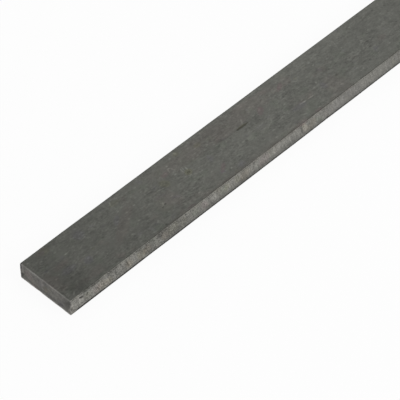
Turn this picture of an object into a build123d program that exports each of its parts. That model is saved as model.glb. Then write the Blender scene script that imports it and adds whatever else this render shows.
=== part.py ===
from build123d import *
import os

# A length of steel flat bar, lying on one of its wide faces.
# The origin is the middle of the bottom face. +X runs along the length, +Y across the width, +Z is up.
# All sizes are in millimetres.

# Driving dimensions
bar_length = 300.0  # cut length, end to end
bar_width = 20.0  # over the swell of both long edges
bar_thickness = 6.0  # between the two wide faces
edge_swell = 0.08  # how far each long edge bulges at half thickness, as it leaves the rolls
top_corner_radius = 0.45  # where a long edge runs into the top face
bottom_corner_radius = 0.6  # where a long edge runs into the bottom face
end_arris = 0.15  # width of the break filed round each cut end


def wide_face_line(height):
    """Straight line of one wide face, across the bar at the given height."""
    half_flat = bar_width / 2 - edge_swell
    return Line((-half_flat, height), (half_flat, height))


def swelled_edge_line(side):
    """Shallow arc of one long edge: side is +1 or -1 across the bar."""
    foot = side * (bar_width / 2 - edge_swell)
    crown = side * bar_width / 2
    return ThreePointArc((foot, 0), (crown, bar_thickness / 2), (foot, bar_thickness))


def bar_section():
    """Rolled section: two flat wide faces, two swelled edges and four round corners. Its own Y axis is up."""
    with BuildSketch(Plane.YZ) as section:
        with BuildLine():
            wide_face_line(0)
            swelled_edge_line(1)
            wide_face_line(bar_thickness)
            swelled_edge_line(-1)
        make_face()
        fillet(section.vertices().group_by(Axis.Y)[0], bottom_corner_radius)
        fillet(section.vertices().group_by(Axis.Y)[-1], top_corner_radius)
    return section.sketch


def flat_bar():
    """The section run out to its cut length, square at both ends, with each end's sharp edge broken."""
    bar = extrude(bar_section(), bar_length / 2, both=True)
    cut_ends = bar.faces().sort_by(Axis.X)
    end_edges = cut_ends[0].edges() + cut_ends[-1].edges()
    return chamfer(end_edges, end_arris)


os.makedirs("parts", exist_ok=True)
bar = flat_bar()
bar.label = "flat_bar"
export_step(bar, "parts/flat_bar.step")
print(f"flat_bar: {bar.volume:.1f} mm3, section {bar_width:g} x {bar_thickness:g} mm, {bar_length:g} mm long")
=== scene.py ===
import math

import bpy
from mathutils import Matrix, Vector, noise


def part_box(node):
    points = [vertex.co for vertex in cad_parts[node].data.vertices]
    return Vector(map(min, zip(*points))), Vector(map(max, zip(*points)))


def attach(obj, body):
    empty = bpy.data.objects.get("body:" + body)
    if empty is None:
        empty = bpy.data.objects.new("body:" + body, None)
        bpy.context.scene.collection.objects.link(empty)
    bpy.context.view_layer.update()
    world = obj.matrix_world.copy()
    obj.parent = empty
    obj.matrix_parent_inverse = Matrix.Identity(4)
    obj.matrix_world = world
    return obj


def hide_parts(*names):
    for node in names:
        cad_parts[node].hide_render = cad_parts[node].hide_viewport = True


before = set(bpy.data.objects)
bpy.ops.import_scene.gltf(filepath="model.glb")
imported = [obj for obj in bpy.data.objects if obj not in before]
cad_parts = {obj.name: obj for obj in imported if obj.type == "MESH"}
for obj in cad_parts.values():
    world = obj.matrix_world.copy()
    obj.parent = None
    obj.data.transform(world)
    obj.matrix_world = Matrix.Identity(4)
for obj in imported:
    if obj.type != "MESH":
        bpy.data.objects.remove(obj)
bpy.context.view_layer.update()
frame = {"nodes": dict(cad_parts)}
print("frame loaded:", ", ".join(frame["nodes"]))

mm = 0.001
barLow, barHigh = (Vector(corner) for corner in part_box("flat_bar"))
barSize = barHigh - barLow
barMiddle = (barLow + barHigh) / 2

# in mm, as all sizes below are unless a note says otherwise
barLength, barWidth, barHeight = (size / mm for size in barSize)
seedShift = (7.3, 3.1, 5.7)  # by which each seed moves a noise


# an output socket, so that shader maths is written as a plain expression
class Wire:
    def __init__(self, socket):
        self.socket = socket

    def maths(self, operation, *values):
        made = self.socket.id_data.nodes.new("ShaderNodeMath")
        made.operation = operation
        for slot, value in zip(made.inputs, values):
            plug(slot, value)
        return Wire(made.outputs[0])

    def __add__(self, other):
        return self.maths("ADD", self, other)

    def __radd__(self, other):
        return self.maths("ADD", other, self)

    def __sub__(self, other):
        return self.maths("SUBTRACT", self, other)

    def __rsub__(self, other):
        return self.maths("SUBTRACT", other, self)

    def __mul__(self, other):
        return self.maths("MULTIPLY", self, other)

    def __rmul__(self, other):
        return self.maths("MULTIPLY", other, self)

    def __abs__(self):
        return self.maths("ABSOLUTE", self)

    def orMore(self, other):
        return self.maths("MAXIMUM", self, other)

    def orLess(self, other):
        return self.maths("MINIMUM", self, other)


def plug(slot, value):
    if isinstance(value, Wire):
        slot.id_data.links.new(value.socket, slot)
    else:
        slot.default_value = value


def between(share, first, second):
    return first + share * (second - first)


# the node tree of a material or world
class Wiring:
    def __init__(self, tree):
        self.tree = tree
        tree.nodes.clear()

    # makes every node but the maths above, and gives the wire of one output or of several
    def node(self, kind, settings, sockets, gives=0):
        made = self.tree.nodes.new(kind)
        for name, value in settings.items():
            setattr(made, name, value)
        for name, value in sockets.items():
            plug(made.inputs[name], value)
        if isinstance(gives, tuple):
            return [Wire(made.outputs[name]) for name in gives]
        return Wire(made.outputs[gives]) if made.outputs else made

    def split(self, vector):
        return self.node("ShaderNodeSeparateXYZ", {}, {"Vector": vector}, ("X", "Y", "Z"))

    def joined(self, x, y, z):
        return self.node("ShaderNodeCombineXYZ", {}, {"X": x, "Y": y, "Z": z})

    # 0 at start, 1 at stop, smooth between
    def ease(self, value, start, stop):
        return self.node(
            "ShaderNodeMapRange",
            {"interpolation_type": "SMOOTHSTEP"},
            {"Value": value, "From Min": start, "From Max": stop},
        )

    # the same for a distance, with start and stop in mm
    def easeOver(self, distance, start, stop):
        return self.ease(distance, start * mm, stop * mm)

    # a place counted in cells of the given size in mm, with its own start for each seed
    def cells(self, place, size, seed):
        return self.node(
            "ShaderNodeMapping",
            {"vector_type": "TEXTURE"},
            {
                "Vector": place,
                "Location": [seed * part * mm for part in seedShift],
                "Scale": [part * mm for part in size],
            },
        )

    # smooth noise about zero, mostly within -1 to 1
    def grain(self, place, size, seed):
        level = self.node(
            "ShaderNodeTexNoise", {}, {"Vector": self.cells(place, size, seed), "Scale": 1.0, "Detail": 1.0}
        )
        return (level - 0.5) * 4

    # grains of several sizes on one another: each row gives a size and how strongly it shades
    def layers(self, place, rows, seed):
        total = 0
        for number, (size, strength) in enumerate(rows):
            total = total + strength * self.grain(place, size, seed + number)
        return total

    # small scattered marks, 1 at the heart of the strongest, in a share of the cells
    def flecks(self, place, size, seed, share):
        away, tint = self.node(
            "ShaderNodeTexVoronoi",
            {},
            {"Vector": self.cells(place, size, seed), "Scale": 1.0},
            ("Distance", "Color"),
        )
        chance, strength = self.node("ShaderNodeSeparateColor", {}, {"Color": tint}, ("Red", "Green"))
        rim, heart, softness, faintest = 0.45, 0.05, 0.02, 0.3
        shape = self.ease(away, rim, heart) * self.ease(chance, share, share - softness)
        return shape * between(strength, faintest, 1)

    # 1 inside an oval laid on the skin, fading at its uneven rim; size in mm, turn in degrees
    def oval(self, place, uneven, centre, size, turn):
        reach, rim, core = 0.65, 0.08, 0.54  # so that it is half faded at about the given size
        inside = self.node(
            "ShaderNodeMapping",
            {"vector_type": "TEXTURE"},
            {
                "Vector": place,
                "Location": centre,
                "Rotation": [math.radians(angle) for angle in turn],
                "Scale": [reach * part * mm for part in size],
            },
        )
        depth = self.node("ShaderNodeTexGradient", {"gradient_type": "SPHERICAL"}, {"Vector": inside}, 1)
        return self.ease(depth * uneven, rim, core)

    def mixed(self, share, first, second, blend="MIX"):
        settings = {"data_type": "RGBA", "blend_type": blend}
        return self.node("ShaderNodeMix", settings, {0: share, 6: first, 7: second}, 2)

    def tinted(self, colour, share, tint):
        return self.mixed(share, colour, tint, "MULTIPLY")

    def dimmed(self, colour, by):
        return self.node("ShaderNodeVectorMath", {"operation": "SCALE"}, {0: colour, "Scale": by})


camera = {
    "spot": (-423.9, -321.8, 494.4),
    "heading": 43.96,  # degrees from the bar's length
    "lookDown": 47.32,
    "lens": 216.7,
    "filmWidth": 36,
}


def placeCamera():
    data = bpy.data.cameras.new("camera")
    data.lens, data.sensor_width = camera["lens"], camera["filmWidth"]
    eye = bpy.data.objects.new("camera", data)
    eye.location = Vector(camera["spot"]) * mm
    eye.rotation_euler = [math.radians(turn) for turn in (90 - camera["lookDown"], 0, camera["heading"] - 90)]
    bpy.context.scene.collection.objects.link(eye)
    bpy.context.scene.camera = eye


placeCamera()
print("camera placed")


barForm = {
    "topRadius": 0.45,  # where the long edges run into the top face
    "bottomRadius": 0.6,
    "radiusDrift": 0.15,  # how far those radii wander
    "radiusDriftLength": 14,
    "edgeSwell": 0.08,
    "swellPower": 8,  # how closely the swell keeps to the edges
    "edgeWave": 0.05,  # shallow waves along the long edges
    "edgeWaveLength": 11,
    "edgeRidge": 0.03,  # slanting ridges across the long edges
    "edgeRidgeLength": 0.9,
    "edgeRidgeHeight": 5,
    "ridgeSlant": 65,  # degrees from the bar's length
    "faceDish": 0.03,  # faint hollows in the wide faces
    "faceDishLength": 26,
    "faceDishWidth": 9,
    "arris": 0.16,  # break round each cut end
    "arrisDrift": 0.1,
    "arrisGrain": 0.7,
    "wornArris": 0.25,  # on the near end's upright corner at +Y
    "footArris": 0.1,  # on the ends' lower edges, which are sharper
    "footBite": 0.6,  # bites that the cut has left along them
    "footBiteLength": 1.3,
    "endDish": 0.03,
    "endDishLength": 2.5,
    "dents": (  # side, distance from the near end, distance from the -Y edge or height, length, width, depth
        ("-Y edge", 3.9, 4.45, 1.8, 1.0, 0.2),
        ("-Y edge", 6.15, 4.4, 0.9, 0.9, 0.08),
        ("-Y edge", 71.3, 5.3, 1.0, 0.8, 0.08),
        ("-Y edge", 102.0, 0.6, 1.6, 0.9, 0.12),
        ("-Y edge", 188.0, 4.2, 2.2, 0.8, 0.12),
        ("-Y edge", 262.5, 1.9, 1.4, 0.9, 0.1),
        ("+Y edge", 37.0, 3.9, 1.6, 0.8, 0.12),
        ("+Y edge", 131.0, 2.2, 1.2, 0.9, 0.09),
        ("+Y edge", 239.0, 5.0, 2.0, 0.7, 0.14),
        ("top", 79.0, 11.9, 5.2, 0.9, 0.07),
        ("top", 55.7, 10.4, 1.4, 1.1, 0.05),
        ("top", 203.0, 6.5, 3.4, 0.9, 0.06),
        ("bottom", 91.0, 8.0, 2.6, 1.2, 0.06),
        ("bottom", 226.0, 13.5, 1.6, 1.4, 0.06),
    ),
    "stationStep": 0.35,  # how finely the mesh is laid
    "endZone": 0.8,  # stretch at each end kept for the arris
    "acrossSteps": 24,
    "upSteps": 16,
    "cornerSteps": 4,  # an even number
    "arrisSteps": 4,
    "mapGap": 0.8,  # between the parts of the bake map
}
# where each unevenness starts in the noise, so that no two are alike
noiseStart = {
    "corners": 11.3,
    "edges": 20,
    "wave": 3.3,
    "faces": 5.1,
    "arris": 4.4,
    "bites": 6.3,
    "endDish": 8.8,
}

# points round the section, where each side has half of the corner at each of its ends
acrossCount = barForm["acrossSteps"] + barForm["cornerSteps"]
upCount = barForm["upSteps"] + barForm["cornerSteps"]
loopCount = 2 * (acrossCount + upCount)
sideStarts = (0, acrossCount, acrossCount + upCount, 2 * acrossCount + upCount, loopCount)


def wander(*place):
    return noise.noise(Vector(place))


def facingVector(angle):
    return Vector((math.cos(angle), math.sin(angle)))


# centre and radius of each corner of the section, across and up from the middle of the bottom
def sectionCorners(along):
    corners = []
    for number, (side, level) in enumerate(((-1, -1), (1, -1), (1, 1), (-1, 1))):
        drift = wander(along / barForm["radiusDriftLength"], number * noiseStart["corners"], 0)
        radius = barForm["topRadius"] if level > 0 else barForm["bottomRadius"]
        radius += barForm["radiusDrift"] * drift
        centre = Vector((side * (barWidth / 2 - radius), barHeight / 2 + level * (barHeight / 2 - radius)))
        corners.append((centre, radius))
    return corners


# one loop round the section at a place along the bar, as (point, way the skin faces) pairs
# it starts at the lower corner on the -Y side and runs anticlockwise as seen from +X
def sectionLoop(along):
    corners = sectionCorners(along)
    halfCorner = barForm["cornerSteps"] // 2
    loop = []
    for side in range(4):  # bottom, +Y edge, top, -Y edge
        (startCentre, startRadius), (stopCentre, stopRadius) = corners[side], corners[(side + 1) % 4]
        facing = math.pi / 2 * (side - 1)
        out = facingVector(facing)
        for step in range(halfCorner):
            way = facingVector(facing - math.pi / 4 * (1 - step / halfCorner))
            loop.append((startCentre + startRadius * way, way))
        start, stop = startCentre + startRadius * out, stopCentre + stopRadius * out
        steps = barForm["upSteps"] if side % 2 else barForm["acrossSteps"]
        for step in range(steps):
            share = step / steps if side % 2 else (1 - math.cos(math.pi * step / steps)) / 2
            loop.append((start.lerp(stop, share), out))
        for step in range(halfCorner):
            way = facingVector(facing + math.pi / 4 * step / halfCorner)
            loop.append((stopCentre + stopRadius * way, way))
    for point, _ in loop:  # the long edges are widest at half thickness
        fromMiddle = 2 * point.y / barHeight - 1
        nearEdge = min(1, abs(point.x) / (barWidth / 2)) ** barForm["swellPower"]
        point.x -= math.copysign(barForm["edgeSwell"] * fromMiddle**2, point.x) * nearEdge
    return loop


def dentDepth(along, point, way):
    fromEnd, fromEdge = along + barLength / 2, point.x + barWidth / 2
    sides = {
        "-Y edge": (-way.x, point.y),
        "+Y edge": (way.x, point.y),
        "top": (way.y, fromEdge),
        "bottom": (-way.y, fromEdge),
    }
    depth = 0
    for side, centre, level, length, width, deepest in barForm["dents"]:
        facing, spot = sides[side]
        reach = ((fromEnd - centre) / length * 2) ** 2 + ((spot - level) / width * 2) ** 2
        depth += deepest * max(0, facing) * max(0, 1 - reach)
    return depth


# how far the skin lies below the CAD surface there
def reliefDepth(along, point, way):
    edge = math.copysign(noiseStart["edges"], point.x)
    slanted = along + point.y / math.tan(math.radians(barForm["ridgeSlant"]))
    ridge = wander(slanted / barForm["edgeRidgeLength"], point.y / barForm["edgeRidgeHeight"], edge)
    wave = wander(along / barForm["edgeWaveLength"], edge, noiseStart["wave"])
    face = math.copysign(noiseStart["faces"], way.y)
    dish = wander(along / barForm["faceDishLength"], point.x / barForm["faceDishWidth"], face)
    onEdge = barForm["edgeRidge"] * (1 + ridge) / 2 + barForm["edgeWave"] * (1 + wave) / 2
    onFace = barForm["faceDish"] * (1 + dish) / 2
    return abs(way.x) * onEdge + abs(way.y) * onFace + dentDepth(along, point, way)


# width of the broken edge round an end, which is -1 for the near one and 1 for the far one
def arrisWidth(end, point, way):
    grainSize = barForm["arrisGrain"]
    drift = wander(point.x / grainSize, point.y / grainSize, end * noiseStart["arris"])
    bite = max(0, wander(point.x / barForm["footBiteLength"], 0, end * noiseStart["bites"]))
    worn = max(0, way.x) ** 3 * (end < 0)
    foot = max(0, -way.y)
    width = barForm["arris"] + barForm["arrisDrift"] * drift
    width += (barForm["wornArris"] - barForm["arris"]) * worn
    return width + (barForm["footArris"] - barForm["arris"] + barForm["footBite"] * bite) * foot


# the bar's stations from end to end: (which end it belongs to, turn round the arris, place along)
def stationList():
    halfLength = barLength / 2
    arrisSteps = barForm["arrisSteps"]
    plainHalf = halfLength - barForm["endZone"]
    plainCount = round(2 * plainHalf / barForm["stationStep"])
    turns = [math.pi / 2 * step / arrisSteps for step in range(arrisSteps + 1)]
    stations = [(-1, turn, -halfLength) for turn in reversed(turns)]
    stations += [(0, 0, -plainHalf + 2 * plainHalf * step / plainCount) for step in range(plainCount + 1)]
    return stations + [(1, turn, halfLength) for turn in turns]


def stationPoints(end, turn, along):
    points = []
    for point, way in sectionLoop(along):
        width = arrisWidth(end, point, way) if end else 0
        here = along - end * width * (1 - math.sin(turn))
        depth = reliefDepth(here, point, way) + width * (1 - math.cos(turn))
        flat = point - way * depth
        points.append(Vector((here, flat.x, flat.y)))
    return points


# the bake map in mm: each side of the bar in two halves, one strip above the other, then both cut ends
def mapLayout():
    gap = barForm["mapGap"]
    strips, level = {}, gap
    for side in range(4):
        for half in range(2):
            strips[side, half] = level
            level += (barHeight if side % 2 else barWidth) + gap
    strips["ends"] = level
    return strips, (barLength / 2 + 2 * gap, level + barHeight + gap)


# distance round the loop from the start of each side
def sideGirths(ring):
    girths = []
    for start, stop in zip(sideStarts, sideStarts[1:]):
        run = [0.0]
        for number in range(start, stop):
            run.append(run[-1] + (ring[(number + 1) % loopCount] - ring[number]).length)
        girths.append(run)
    return girths


# faces along the bar, and where each of their corners lies on the bake map
def sideFaces(rings, strips):
    middle = min(range(len(rings)), key=lambda number: abs(rings[number][0].x))
    girths = sideGirths(rings[middle])
    faces, places = [], []
    for station in range(len(rings) - 1):
        half = int(station >= middle)
        for side in range(4):
            for number in range(sideStarts[side], sideStarts[side + 1]):
                following = (number + 1) % loopCount
                corners = ((station, number), (station, following))
                corners += ((station + 1, following), (station + 1, number))
                faces.append([at * loopCount + spot for at, spot in corners])
                step = number - sideStarts[side]
                lower, upper = girths[side][step : step + 2]
                for (at, spot), girth in zip(corners, (lower, upper, upper, lower)):
                    along = rings[at][spot].x + (0 if half else barLength / 2)
                    places.append((barForm["mapGap"] + along, strips[side, half] + girth))
    return faces, places


# a cut end's grid: the loop's numbers round it, and the points inside it, blended from the four sides
def endGrid(ring):
    rim = {}
    for across in range(acrossCount + 1):
        rim[0, across] = across
        rim[upCount, across] = 2 * acrossCount + upCount - across
    for up in range(upCount + 1):
        rim[up, acrossCount] = acrossCount + up
        rim[up, 0] = (loopCount - up) % loopCount
    inner = {}
    for up in range(1, upCount):
        for across in range(1, acrossCount):
            rise, reach = up / upCount, across / acrossCount
            low, high = ring[rim[0, across]], ring[rim[upCount, across]]
            left, right = ring[rim[up, 0]], ring[rim[up, acrossCount]]
            lowLine = ring[rim[0, 0]].lerp(ring[rim[0, acrossCount]], reach)
            highLine = ring[rim[upCount, 0]].lerp(ring[rim[upCount, acrossCount]], reach)
            inner[up, across] = low.lerp(high, rise) + left.lerp(right, reach) - lowLine.lerp(highLine, rise)
    return rim, inner


# closes the end whose loop starts at the first point given, with a slight hollow
def closeEnd(end, first, level, points, faces, places):
    rim, inner = endGrid(points[first : first + loopCount])
    ids = {spot: first + number for spot, number in rim.items()}
    size, start = barForm["endDishLength"], end * noiseStart["endDish"]
    for spot, point in inner.items():
        ids[spot] = len(points)
        dish = wander(point.y / size, point.z / size, start)
        points.append(point - Vector((end * barForm["endDish"] * (1 + dish) / 2, 0, 0)))
    gap = barForm["mapGap"]
    mapStart = barWidth / 2 + gap + (end > 0) * (barWidth + gap)
    # the near end's corners are taken in reverse, so that its faces look outwards
    for up in range(upCount):
        for across in range(acrossCount):
            corners = [(up, across), (up, across + 1), (up + 1, across + 1), (up + 1, across)][::end]
            faces.append([ids[corner] for corner in corners])
            for corner in corners:
                point = points[ids[corner]]
                places.append((mapStart + point.y, level + point.z))


def buildBar():
    rings = [stationPoints(*station) for station in stationList()]
    points = [point for ring in rings for point in ring]
    strips, mapSize = mapLayout()
    faces, places = sideFaces(rings, strips)
    closeEnd(-1, 0, strips["ends"], points, faces, places)
    closeEnd(1, (len(rings) - 1) * loopCount, strips["ends"], points, faces, places)

    mesh = bpy.data.meshes.new("steel_bar")
    mesh.from_pydata([point * mm for point in points], [], faces)
    mesh.shade_smooth()
    bakeMap = mesh.uv_layers.new(name="OFBake")
    bakeMap.data.foreach_set("uv", [value / size for place in places for value, size in zip(place, mapSize)])
    bar = bpy.data.objects.new("steel_bar", mesh)
    bpy.context.scene.collection.objects.link(bar)
    print("bar skin:", len(points), "points,", len(faces), "faces")
    return bar


bar = buildBar()
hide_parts("flat_bar")
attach(bar, "root")


# how much of red, green and blue each lets through
tints = {
    "green": (0.98, 1.015, 0.98, 1),
    "brown": (1.04, 0.978, 0.99, 1),
    "violet": (0.98, 0.96, 1.055, 1),
    "yellow": (1.04, 1.035, 0.88, 1),
    "red": (1.09, 0.925, 1.0, 1),
    "orange": (1.07, 1.0, 0.91, 1),
}
# colours are linear
# a grain's rows give a size and how strongly it shades; its two strengths are near the ends and far from them
# the rows of drifts give a tint, the size of its patches, and the noise at which it starts and is full
wideFace = {
    "colour": (0.0676, 0.0685, 0.0608, 1),
    "roughness": 0.4,
    "coarse": {"rows": (((30, 12, 12), 0.04), ((8, 4, 4), 0.06)), "seed": 25},
    "coarseStrength": (0.9, 1.2),
    "streaks": {"rows": (((5, 0.8, 0.8), 0.06), ((2.2, 1.1, 1.1), 0.12)), "seed": 20},
    "streakStrength": (0.87, 1.2),
    "grit": {"rows": (((0.8, 0.5, 0.5), 0.145),), "seed": 22},
    "gritStrength": (1.0, 0.85),
    "patch": {"size": (9, 6, 6), "seed": 18},  # the streaks and the grit show in patches
    "patchLeast": 0.5,
    "drifts": {
        "rows": (
            ("green", (5, 3.5, 3.5), 0.2, 1.0),
            ("brown", (6, 4, 4), 0.4, 1.2),
            ("violet", (4, 3, 3), 0.6, 1.3),
            ("yellow", (3, 2, 2), 0.8, 1.6),
        ),
        "seed": 32,
    },
    "lightFlecks": {"size": (1.6, 0.8, 0.8), "seed": 30, "share": 0.2},
    "lightFleckStrength": 0.5,
    "darkFlecks": {"size": (1.5, 0.8, 0.8), "seed": 31, "share": 0.2},
    "darkFleckStrength": 0.22,
    "curls": {"size": (2.4, 1.3, 1.3), "seed": 37},  # pale curled lines, where this noise is near zero
    "curlWidth": 0.15,
    "curlPatch": {"size": (3, 2, 2), "seed": 38},
    "curlPatchRange": (0.15, 0.8),
    "curlStrength": 0.3,
    "relief": 0.012,
}
# the broken brown line on the wide faces, beside the -Y edge
brownLine = {
    "colour": (0.051, 0.049, 0.043, 1),
    "reach": (1.5, 0.5),  # from that edge, where it starts and where it is full
    "drift": {"size": (2.5, 2.5, 2.5), "seed": 39},
    "driftWidth": 0.12,
    "breaks": {"size": (5, 5, 5), "seed": 36},
    "breakRange": (-0.5, 0.9),
    "least": 0.2,  # what is left of it in its breaks
    "start": (20, 44),  # from the nearer end
    "fading": 0.5,  # how much weaker it is farther in
    "fadingStretch": (84, 98),
}
longEdge = {
    "colour": (0.194, 0.19, 0.172, 1),
    "roughness": 0.5,
    "lean": 0.32,  # how far the rolling marks lean along the bar for each mm of height
    "coarse": {"rows": (((45, 60, 60), 0.03), ((5.5, 60, 9), 0.14)), "seed": 41},
    "coarseStrength": (1.3, 0.4),
    "streaks": {"rows": (((1.5, 60, 4), 0.1), ((0.4, 60, 2.6), 0.2)), "seed": 43},
    "streakStrength": (0.9, 0.8),
    "grit": {"rows": (((0.4, 0.4, 0.4), 0.3),), "seed": 45},
    "gritStrength": (1.65, 0.85),
    "drifts": {
        "rows": (
            ("yellow", (2.2, 60, 5), 0.2, 2.4),
            ("orange", (2.8, 60, 6), 0.2, 2.4),
            ("green", (4, 60, 7), 0.2, 1.2),
        ),
        "seed": 48,
    },
    "contactShadow": (0.015, 0.0125, 0.008, 1),  # painted contact shadow, dark along the lower corner where the edge meets the floor
    "contactShadowHeights": (1.3, 0.95),  # where it starts and where it is full
    "contactShadowDrift": {"size": (2.5, 2.5, 2.5), "seed": 47},
    "contactShadowDriftHeight": 0.15,
    "contactShadowStart": (1, 3),  # from the nearer end, give or take the next
    "contactShadowStartDrift": 0.8,
    "deepContactShadowFading": 0.08,  # how much thinner it is far from the ends
    "footShade": (0.15, 0.27),  # painted shade: how much darker it gets towards its foot, near the ends and far from them
    "footHeights": (3, 1.3),
    "headShade": 0.42,  # the same painted shade at its top, where the rounded corner would catch the light
    "headDepths": (0.5, 0.05),  # below the top, where it starts and is full
    "deepLift": 0.07,  # how much lighter it is far from the ends
    "border": (-0.42, 0),  # from the middle of the corner with a wide face, where it starts and is full
    "borderDrift": 0.12,
    "relief": 0.05,
}
cutEnd = {
    "colour": (0.0955, 0.091, 0.08, 1),
    "grain": {
        "rows": (
            ((6, 6, 6), 0.06),
            ((2.2, 1.3, 1.3), 0.18),
            ((0.9, 0.9, 0.9), 0.2),
            ((0.4, 0.4, 0.4), 0.3),
        ),
        "seed": 50,
    },
    "drifts": {
        "rows": (
            ("orange", (2, 2, 2), 0.4, 1.6),
            ("violet", (2.5, 2.5, 2.5), 0.4, 1.4),
            ("green", (2.5, 2.5, 2.5), 0.4, 1.4),
        ),
        "seed": 56,
    },
    "footShade": 0.15,
    "footHeights": (2.2, 1.2),
    "border": (-0.05, 0.15),  # from the corner with another side, where it starts and is full
    "borderDrift": 0.07,
    "cornerBorderDrift": 0.3,  # down the upright corners
    "relief": 0.02,
}
# the pale band along the broken arris: bare metal, made paler as a painted highlight
brokenArris = {
    "colour": (0.235, 0.23, 0.215, 1),
    "middle": 0.1,  # how far onto the end the middle of the pale band lies
    "halfWidth": (0.42, 0.1),  # where it starts and where it is full
    "bareAndGlint": 0.6,  # share of bare metal and painted highlight, give or take the next
    "bareAndGlintDrift": 0.25,
}
barFinish = {
    "metallic": 0.9,
    "deepStretch": (15, 105),  # distances from the nearer end that count as near it and far from it
    "ragged": {"size": (0.9, 0.9, 0.9), "seed": 1},  # noises that the borders and rims share
    "coarse": {"size": (5, 5, 5), "seed": 2},
    "roughnessDrift": 0.03,
    "markDepth": 1.2,  # how far marks and stains reach into the bar
    "markRim": 0.4,  # how uneven their rims are
    "stainRims": (0.3, 0.6),
}
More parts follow.
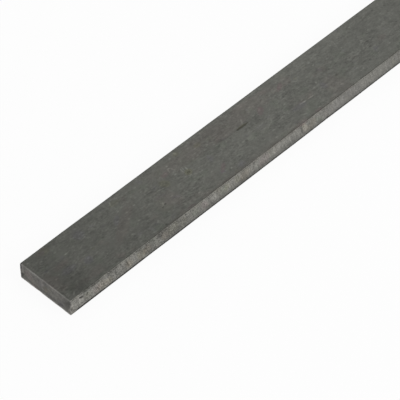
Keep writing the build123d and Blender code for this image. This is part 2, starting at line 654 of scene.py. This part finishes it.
# marks: distance from the near end (on the end itself, from the -Y edge), distance from the -Y edge
# (on an upright side, height), length, width, turn in degrees, how much lighter
marks = {
    "top": (
        # specks and small pits
        (22.0, 10.2, 1.0, 0.6, 0, -0.25),
        (42.6, 6.7, 0.9, 0.6, 0, -0.4),
        (41.3, 6.3, 0.8, 0.6, 0, -0.35),
        (42.2, 7.3, 0.7, 0.5, 0, 0.35),
        (55.7, 10.5, 1.3, 0.9, 0, -0.35),
        (55.7, 6.5, 1.1, 0.7, 0, -0.25),
        (75.9, 7.2, 1.0, 0.9, 0, -0.3),
        (77.4, 7.1, 2.6, 1.8, 0, 0.2),
        (86.0, 4.0, 0.8, 0.6, 0, -0.3),
        (113.1, 6.7, 1.2, 0.8, 0, -0.3),
        (46.8, 0.9, 1.4, 0.7, 0, -0.3),
        (37.5, 1.0, 1.2, 0.7, 0, -0.3),
        # the slit
        (79.0, 11.9, 5.6, 0.8, -1, -0.5),
        # scratches and curls
        (80.4, 13.5, 2.6, 0.5, 55, 0.3),
        (42.4, 12.6, 2.8, 0.4, -11, -0.25),
        (54.8, 12.3, 2.0, 0.5, 80, 0.5),
        (55.5, 12.5, 1.6, 0.4, 80, 0.4),
        (56.3, 12.0, 1.7, 0.5, 80, 0.5),
        (55.4, 9.3, 1.1, 0.5, 0, 0.4),
        (52.1, 14.7, 1.6, 0.5, 70, 0.35),
        (52.7, 15.4, 1.2, 0.5, -20, 0.35),
        (53.4, 14.5, 1.6, 0.5, -70, 0.35),
        (52.8, 13.5, 1.2, 0.5, 20, 0.35),
        (53.0, 16.4, 0.8, 0.6, 0, 0.45),
        (58.0, 18.4, 1.4, 0.6, -60, 0.45),
        (65.3, 3.0, 0.8, 0.5, 0, 0.4),
        (61.7, 14.2, 2.0, 0.4, 0, 0.3),
        (67.0, 14.2, 0.9, 0.5, -50, 0.35),
        (98.3, 6.0, 2.6, 0.5, -3, 0.5),
        (101.3, 5.85, 2.2, 0.5, -3, 0.5),
        (95.4, 11.1, 2.2, 0.5, 0, 0.3),
        (101.0, 11.0, 2.8, 0.45, 0, 0.3),
        (84.2, 4.6, 1.2, 0.4, -20, 0.4),
        (86.6, 4.5, 1.0, 0.4, 20, 0.4),
        (95.0, 2.5, 2.2, 0.4, -25, 0.3),
        (2.7, 1.6, 1.8, 0.5, 45, 0.35),
        (32.0, 17.7, 1.6, 0.6, 60, 0.35),
        (30.2, 18.0, 0.8, 0.8, 0, 0.3),
        (42.0, 6.9, 2.2, 0.4, 25, 0.3),
        (11.0, 13.2, 2.0, 0.4, 0, 0.3),
        (15.5, 12.0, 2.0, 0.4, 25, 0.25),
        # broad places, painted shade and light where the light falls unevenly, and the rim
        (47.6, 12.1, 2.6, 1.6, -45, -0.12),
        (5.0, 4.0, 10.0, 8.0, 0, -0.12),
        (4.0, 1.5, 9.0, 5.0, 0, -0.07),
        (5.0, 10.0, 8.0, 26.0, 0, -0.1),
        (26.0, 3.0, 52.0, 9.0, 0, -0.05),
        (75.0, 13.0, 30.0, 6.0, 0, -0.05),
        (91.0, 11.0, 20.0, 7.0, 0, -0.08),
        (36.0, 16.5, 40.0, 7.0, 0, 0.04),
        (6.0, 0.3, 9.0, 0.8, 0, 0.1),
        (16.0, 0.3, 9.0, 1.2, 0, 0.12),
    ),
    "edge": (
        # the nick, the pit and the dark rim beside them
        (3.9, 4.45, 2.1, 0.7, -28, -0.8),
        (6.15, 4.4, 0.8, 0.9, 0, -0.55),
        (8.0, 5.8, 8.0, 1.3, 0, -0.45),
        (16.0, 5.8, 6.0, 1.2, 0, -0.35),
        # pale and dark places, most of them slanting
        (4.0, 3.5, 3.2, 1.8, 10, 0.2),
        (1.5, 3.4, 2.4, 5.0, 0, 0.08),
        (0.0, 3.2, 0.7, 3.4, 0, -0.25),
        (10.15, 2.9, 0.7, 2.8, 25, -0.35),
        (21.2, 4.0, 0.6, 3.4, 20, -0.28),
        (22.2, 2.8, 0.5, 3.0, 20, 0.2),
        (33.5, 4.9, 5.0, 1.6, 0, -0.2),
        (39.5, 2.6, 4.0, 3.6, 20, -0.2),
        (53.4, 3.8, 0.8, 4.4, 20, -0.3),
        (55.0, 4.2, 1.6, 3.4, 20, 0.15),
        (60.5, 3.6, 2.4, 3.6, 20, 0.12),
        (67.5, 4.2, 2.2, 3.6, 20, -0.12),
        (71.3, 5.3, 1.0, 0.8, 0, -0.4),
        (71.5, 1.9, 0.8, 0.8, 0, -0.4),
        (80.5, 4.2, 4.0, 3.4, 20, 0.14),
        (91.2, 3.8, 0.7, 3.6, 20, -0.35),
        (92.8, 3.9, 1.9, 3.4, 20, 0.3),
        (98.8, 2.3, 3.0, 1.8, -35, -0.18),
        (102.0, 1.2, 1.6, 0.8, 0, -0.5),
        # a broad darker stretch: painted shade
        (32.0, 3.0, 28.0, 10.0, 0, -0.13),
        (14.0, 5.0, 6.0, 2.0, 0, -0.12),
        (9.6, 3.2, 4.5, 4.0, 20, 0.2),
        (21.0, 3.6, 5.0, 4.0, 20, -0.13),
        (33.0, 3.2, 3.5, 5.0, 20, 0.15),
        # a broad lighter band, painted light, then broad darker stretches near the foot, painted shade
        (76.0, 4.4, 30.0, 3.6, 0, 0.13),
        (57.0, 1.7, 12.0, 1.6, 0, -0.1),
        (72.0, 1.8, 14.0, 1.4, 0, -0.08),
        (66.0, 1.9, 64.0, 3.0, 0, -0.1),
        (13.6, 3.2, 2.4, 3.6, 20, 0.14),
        (37.2, 3.4, 1.8, 4.0, 20, -0.14),
        (50.3, 3.4, 2.2, 4.0, 20, -0.1),
        (87.8, 3.4, 2.6, 4.0, 20, -0.13),
        (0.15, 2.3, 0.5, 0.6, 0, -0.4),
    ),
    "end": (
        # the far corner, with painted shade where it rounds away, and the pale line beside it, a painted
        # highlight
        (19.6, 4.6, 1.0, 1.8, 0, -0.65),
        (20.0, 6.0, 2.0, 1.4, 0, -0.6),
        (18.85, 4.4, 0.9, 3.6, -8, 0.65),
        (19.0, 1.7, 0.9, 2.6, 30, -0.6),
        # pale and dark places
        (16.4, 3.5, 3.8, 3.6, 0, 0.16),
        (16.2, 1.3, 1.8, 0.9, 0, -0.35),
        (12.7, 4.4, 2.4, 1.4, 0, -0.14),
        (10.9, 3.9, 0.8, 2.2, 35, 0.3),
        (10.0, 4.9, 2.0, 2.0, -30, -0.3),
        (11.5, 1.3, 1.4, 0.9, 0, -0.3),
        (7.4, 5.2, 3.0, 1.6, 0, 0.3),
        (6.5, 1.5, 8.0, 1.0, 0, -0.25),
        (3.6, 1.6, 2.4, 1.4, 0, -0.3),
        (1.9, 4.0, 3.2, 4.8, 20, -0.34),
        (0.5, 3.7, 1.0, 3.4, 20, -0.12),
        (0.7, 5.2, 0.9, 1.2, 0, -0.12),
        (0.7, 1.5, 1.3, 2.6, 20, 0.6),
        (0.25, 3.7, 0.8, 1.5, 0, 0.7),
        (2.6, 5.4, 1.6, 0.7, 0, 0.25),
        (14.5, 5.4, 3.0, 1.0, 0, 0.15),
        # the lower rim, painted lighter where the pale floor reflects in it
        (10.0, 0.3, 24.0, 0.9, 0, 0.7),
    ),
}
# stained places, laid out in the same way: at last the tint and how strong it is
stains = {
    "top": (
        (72.0, 15.5, 56.0, 7.0, 0, "brown", 0.8),
        (30.0, 10.0, 22.0, 3.4, 35, "brown", 0.8),
        (44.0, 6.5, 8.0, 8.0, 0, "brown", 0.8),
        (80.0, 1.0, 44.0, 3.0, 0, "brown", 0.35),
        (1.5, 8.0, 4.0, 9.0, 0, "brown", 0.8),
        (111.0, 4.0, 9.0, 9.0, 0, "brown", 0.7),
        (63.5, 4.6, 5.5, 1.4, 40, "red", 0.8),
        (87.0, 12.4, 3.6, 2.4, 35, "red", 0.8),
        (50.3, 14.6, 2.4, 2.2, 0, "red", 0.7),
        (98.0, 15.0, 4.0, 1.6, 35, "red", 0.7),
        (46.8, 0.9, 3.4, 1.2, 0, "red", 0.5),
        (92.0, 0.6, 5.0, 1.6, 0, "red", 0.4),
        (99.2, 0.8, 2.4, 1.4, 0, "red", 0.5),
        (18.0, 16.0, 4.0, 4.4, 0, "violet", 0.9),
        (8.0, 8.4, 6.0, 2.4, 0, "violet", 0.9),
        (13.6, 7.2, 3.0, 3.0, 0, "violet", 1.0),
        (29.0, 12.0, 4.0, 1.6, 40, "violet", 0.8),
        (96.0, 5.6, 6.0, 2.0, 0, "violet", 0.8),
        (107.5, 6.5, 2.2, 3.0, 0, "violet", 0.8),
        (33.0, 17.0, 4.0, 2.0, 0, "yellow", 0.4),
        (7.4, 18.0, 3.4, 2.6, 0, "yellow", 0.5),
        (47.8, 12.2, 3.6, 2.8, -45, "yellow", 0.7),
        (55.7, 10.6, 2.6, 2.2, 0, "yellow", 1.1),
        (79.2, 12.0, 4.6, 1.0, -3, "yellow", 1.0),
        (58.0, 18.0, 3.0, 1.8, 0, "yellow", 0.6),
        (65.0, 16.0, 3.0, 1.8, 0, "yellow", 0.6),
    ),
    "edge": (
        (6.0, 3.4, 2.6, 3.0, 0, "yellow", 0.25),
        (9.5, 3.6, 3.0, 4.0, 20, "red", 0.25),
        (11.5, 3.4, 3.4, 4.4, 20, "orange", 0.5),
        (14.4, 2.8, 2.6, 3.6, 20, "orange", 0.6),
        (22.0, 3.4, 2.8, 4.6, 20, "orange", 0.55),
        (26.8, 3.2, 3.6, 4.6, 20, "orange", 0.5),
        (29.0, 3.2, 3.6, 4.6, 20, "orange", 0.6),
        (35.5, 3.6, 2.4, 4.4, 20, "orange", 0.55),
        (38.6, 3.4, 3.0, 4.6, 20, "yellow", 0.4),
        (42.5, 3.4, 4.0, 4.6, 20, "yellow", 0.3),
        (51.4, 3.8, 2.6, 4.6, 20, "red", 0.4),
        (60.5, 3.6, 2.4, 4.2, 20, "yellow", 0.5),
        (64.4, 4.0, 2.0, 3.6, 20, "yellow", 0.4),
        (67.8, 3.6, 4.4, 4.8, 20, "orange", 0.6),
        (75.6, 3.4, 4.4, 4.8, 20, "red", 0.35),
        (92.6, 3.8, 2.2, 4.6, 20, "orange", 0.4),
        (95.4, 3.4, 4.0, 4.6, 20, "orange", 0.5),
        (98.9, 3.0, 4.6, 1.8, -38, "green", 1.3),
        (47.6, 3.4, 2.4, 4.4, 20, "green", 1.0),
        (59.2, 3.4, 2.8, 4.6, 20, "green", 1.1),
        (108.0, 3.0, 18.0, 9.0, 0, "violet", 0.25),
    ),
    "end": (
        (16.6, 3.4, 3.6, 3.4, 0, "red", 0.55),
        (14.2, 1.0, 2.4, 1.6, 0, "red", 0.5),
        (9.7, 2.8, 2.2, 3.2, 30, "orange", 0.9),
        (3.8, 1.8, 3.0, 2.0, -30, "violet", 1.1),
        (11.6, 3.6, 2.2, 4.0, 30, "violet", 0.6),
        (18.85, 4.4, 1.4, 4.0, -8, "violet", 0.8),
        (9.6, 2.6, 3.4, 3.2, 30, "yellow", 0.5),
    ),
}


# where a mark lies, how large it is and how it is turned, as vectors
def onTop(along, across, length, width, turn):
    spot = barLow + Vector((along * mm, across * mm, barSize.z))
    return spot, (length, width, barFinish["markDepth"]), (0, 0, turn)


def onEdge(along, up, length, width, turn):
    spot = barLow + Vector((along * mm, 0, up * mm))
    return spot, (length, barFinish["markDepth"], width), (0, -turn, 0)


def onEnd(across, up, length, width, turn):
    spot = barLow + Vector((0, across * mm, up * mm))
    return spot, (barFinish["markDepth"], length, width), (turn, 0, 0)


markSides = {"top": onTop, "edge": onEdge, "end": onEnd}


def drifting(steel, place, colour, rows, seed, strength=1):
    for number, (tint, size, start, full) in enumerate(rows):
        share = strength * steel.ease(steel.grain(place, size, seed + number), start, full)
        colour = steel.tinted(colour, share, tints[tint])
    return colour


def stained(steel, place, colour, rim):
    for side, rows in stains.items():
        for *where, tint, strength in rows:
            share = strength * steel.oval(place, rim, *markSides[side](*where))
            colour = steel.tinted(colour, share, tints[tint])
    return colour


def marked(steel, place, level, rim):
    lift = 1
    for side, rows in marks.items():
        for *where, lighter in rows:
            lift = lift + lighter * steel.oval(place, rim, *markSides[side](*where))
    return level * lift


def brownLineShare(steel, place, across, insideEnd):
    inside = across + barSize.y / 2 + brownLine["driftWidth"] * mm * steel.grain(place, **brownLine["drift"])
    line = steel.easeOver(inside, *brownLine["reach"])
    kept = steel.ease(steel.grain(place, **brownLine["breaks"]), *brownLine["breakRange"])
    line = line * between(kept, brownLine["least"], 1)
    line = line * steel.easeOver(insideEnd, *brownLine["start"])
    return line * (1 - brownLine["fading"] * steel.easeOver(insideEnd, *brownLine["fadingStretch"]))


# the finish of each side: its colour, how much lighter or darker that is, and its relief
def wideFaceFinish(steel, place, insideEnd, deep):
    across = steel.split(place)[1]
    patchy = wideFace["patchLeast"] + steel.ease(steel.grain(place, **wideFace["patch"]), -1, 1)
    streaks = between(deep, *wideFace["streakStrength"]) * steel.layers(place, **wideFace["streaks"])
    grit = between(deep, *wideFace["gritStrength"]) * steel.layers(place, **wideFace["grit"])
    fine = patchy * (streaks + grit)
    light = steel.flecks(place, **wideFace["lightFlecks"])
    dark = steel.flecks(place, **wideFace["darkFlecks"])
    curls = steel.ease(abs(steel.grain(place, **wideFace["curls"])), wideFace["curlWidth"], 0)
    curls = curls * steel.ease(steel.grain(place, **wideFace["curlPatch"]), *wideFace["curlPatchRange"])
    level = 1 + fine + between(deep, *wideFace["coarseStrength"]) * steel.layers(place, **wideFace["coarse"])
    level = level + wideFace["lightFleckStrength"] * light - wideFace["darkFleckStrength"] * dark
    level = level + wideFace["curlStrength"] * curls
    colour = drifting(steel, place, wideFace["colour"], **wideFace["drifts"])
    line = brownLineShare(steel, place, across, insideEnd)
    return steel.mixed(line, colour, brownLine["colour"]), between(line, level, 1), wideFace["relief"] * fine


def longEdgeFinish(steel, place, insideEnd, deep, ragged):
    along, across, up = steel.split(place)
    leaned = steel.joined(along + longEdge["lean"] * up, across, up)
    lively = between(deep, *longEdge["streakStrength"])
    shade = between(deep, *longEdge["coarseStrength"]) * steel.layers(leaned, **longEdge["coarse"])
    shade = shade + lively * steel.layers(leaned, **longEdge["streaks"])
    shade = shade + between(deep, *longEdge["gritStrength"]) * steel.layers(leaned, **longEdge["grit"])
    # painted shade, darker towards the foot of the edge and at its top
    foot = between(deep, *longEdge["footShade"]) * steel.easeOver(up, *longEdge["footHeights"])
    headHeights = [barHeight - depth for depth in longEdge["headDepths"]]
    head = longEdge["headShade"] * steel.easeOver(up, *headHeights)
    colour = drifting(steel, leaned, longEdge["colour"], **longEdge["drifts"], strength=lively)
    level = (1 + shade) * (1 + longEdge["deepLift"] * deep - foot - head)
    # a painted contact shadow along the lower corner, dark where the edge meets the floor
    height = up + longEdge["contactShadowDriftHeight"] * mm * steel.grain(place, **longEdge["contactShadowDrift"])
    contactShadow = steel.easeOver(height, *longEdge["contactShadowHeights"])
    fromEnd = insideEnd + longEdge["contactShadowStartDrift"] * mm * ragged
    contactShadow = contactShadow * steel.easeOver(fromEnd, *longEdge["contactShadowStart"])
    contactShadow = contactShadow * (1 - longEdge["deepContactShadowFading"] * deep)
    return steel.mixed(contactShadow, colour, longEdge["contactShadow"]), between(contactShadow, level, 1), longEdge["relief"] * shade


def cutEndFinish(steel, place):
    up = steel.split(place)[2]
    shade = steel.layers(place, **cutEnd["grain"])
    foot = cutEnd["footShade"] * steel.easeOver(up, *cutEnd["footHeights"])
    colour = drifting(steel, place, cutEnd["colour"], **cutEnd["drifts"])
    return colour, (1 + shade) * (1 - foot), cutEnd["relief"] * shade


def steelFinish():
    material = bpy.data.materials.new("mill steel")
    material.use_nodes = True
    steel = Wiring(material.node_tree)
    place = steel.node("ShaderNodeTexCoord", {}, {}, "Object")
    along, across, up = steel.split(place)

    # how far inside each side's plane a point of the skin lies
    insideEnd = barSize.x / 2 - abs(along)
    insideEdge = barSize.y / 2 - abs(across)
    insideFace = barSize.z / 2 - abs(up - barSize.z / 2)

    # borders between the sides run near the middle of each corner, and wander
    ragged = steel.grain(place, **barFinish["ragged"])
    coarse = steel.grain(place, **barFinish["coarse"])
    edgeDrift = longEdge["borderDrift"] * mm * (ragged + coarse)
    edgeShare = steel.easeOver(insideFace - insideEdge + edgeDrift, *longEdge["border"])
    endDrift = between(edgeShare, cutEnd["borderDrift"], cutEnd["cornerBorderDrift"])
    ontoEnd = insideEdge.orLess(insideFace) - insideEnd + mm * endDrift * ragged
    endShare = steel.easeOver(ontoEnd, *cutEnd["border"])
    arrisShare = steel.easeOver(abs(ontoEnd - brokenArris["middle"] * mm), *brokenArris["halfWidth"])

    deep = steel.easeOver(insideEnd, *barFinish["deepStretch"])
    faceColour, faceLevel, faceRelief = wideFaceFinish(steel, place, insideEnd, deep)
    edgeColour, edgeLevel, edgeRelief = longEdgeFinish(steel, place, insideEnd, deep, ragged)
    endColour, endLevel, endRelief = cutEndFinish(steel, place)
    # bare metal on the arris, partly painted highlight
    bareAndGlintShare = (brokenArris["bareAndGlint"] + brokenArris["bareAndGlintDrift"] * coarse) * arrisShare
    colour = steel.mixed(endShare, steel.mixed(edgeShare, faceColour, edgeColour), endColour)
    colour = steel.mixed(bareAndGlintShare, colour, brokenArris["colour"])
    level = between(bareAndGlintShare, between(endShare, between(edgeShare, faceLevel, edgeLevel), endLevel), 1)
    relief = between(endShare, between(edgeShare, faceRelief, edgeRelief), endRelief)

    markRim = 1 + barFinish["markRim"] * ragged
    stainRim = 1 + barFinish["stainRims"][0] * ragged + barFinish["stainRims"][1] * coarse
    colour = stained(steel, place, colour, stainRim)
    level = marked(steel, place, level, markRim)
    roughness = between(edgeShare, wideFace["roughness"], longEdge["roughness"])
    surface = steel.node(
        "ShaderNodeBsdfPrincipled",
        {},
        {
            "Base Color": steel.dimmed(colour, level),
            "Metallic": barFinish["metallic"],
            "Roughness": roughness + barFinish["roughnessDrift"] * ragged,
            "Normal": steel.node("ShaderNodeBump", {}, {"Strength": 1.0, "Distance": mm, "Height": relief}),
        },
    )
    steel.node("ShaderNodeOutputMaterial", {}, {"Surface": surface})
    return material


bar.data.materials.append(steelFinish())
print("finish wired")


studio = {
    "floorSize": 6,  # metres
    "floorColour": (0.8, 0.8, 0.8, 1),
    "whiteShare": 0.94,  # how much of the floor's look is plain white rather than lit
    "fill": 0.6,  # the sky's light on the object
    "lamps": (  # name, spot in metres, size in metres, watts
        ("key", (0.15, -0.9, 0.75), 0.6, 6.0),
        ("back", (0.2, 0.23, 0.35), 0.2, 0.24),
    ),
}


# 1 for the rays that show a thing straight, in a gloss or through glass
def raysThatSee(wiring):
    seenBy = wiring.node(
        "ShaderNodeLightPath", {}, {}, ("Is Camera Ray", "Is Glossy Ray", "Is Transmission Ray")
    )
    return seenBy[0].orMore(seenBy[1]).orMore(seenBy[2])


def buildSky():
    world = bpy.data.worlds.new("studio")
    world.use_nodes = True
    bpy.context.scene.world = world
    sky = Wiring(world.node_tree)
    strength = between(raysThatSee(sky), studio["fill"], 1)
    glow = sky.node("ShaderNodeBackground", {}, {"Color": (1, 1, 1, 1), "Strength": strength})
    sky.node("ShaderNodeOutputWorld", {}, {"Surface": glow})


def floorPaper():
    material = bpy.data.materials.new("floor paper")
    material.use_nodes = True
    paper = Wiring(material.node_tree)
    lit = paper.node("ShaderNodeBsdfDiffuse", {}, {"Color": studio["floorColour"]})
    plain = paper.node("ShaderNodeEmission", {}, {"Color": (1, 1, 1, 1), "Strength": 1.0})
    share = studio["whiteShare"] * raysThatSee(paper)
    look = paper.node("ShaderNodeMixShader", {}, {0: share, 1: lit, 2: plain})
    paper.node("ShaderNodeOutputMaterial", {}, {"Surface": look})
    return material


def buildFloor():
    half = studio["floorSize"] / 2
    corners = [(-half, -half, 0), (half, -half, 0), (half, half, 0), (-half, half, 0)]
    mesh = bpy.data.meshes.new("floor")
    mesh.from_pydata(corners, [], [(0, 1, 2, 3)])
    mesh.materials.append(floorPaper())
    floor = bpy.data.objects.new("floor", mesh)
    bpy.context.scene.collection.objects.link(floor)


def hangLamps():
    for name, spot, size, watts in studio["lamps"]:
        data = bpy.data.lights.new(name, "AREA")
        data.size, data.energy = size, watts
        lamp = bpy.data.objects.new(name, data)
        lamp.location = spot
        lamp.rotation_euler = (barMiddle - Vector(spot)).to_track_quat("-Z", "Y").to_euler()
        bpy.context.scene.collection.objects.link(lamp)


buildSky()
buildFloor()
hangLamps()
bpy.context.scene.view_settings.view_transform = "Standard"
print("studio lit")
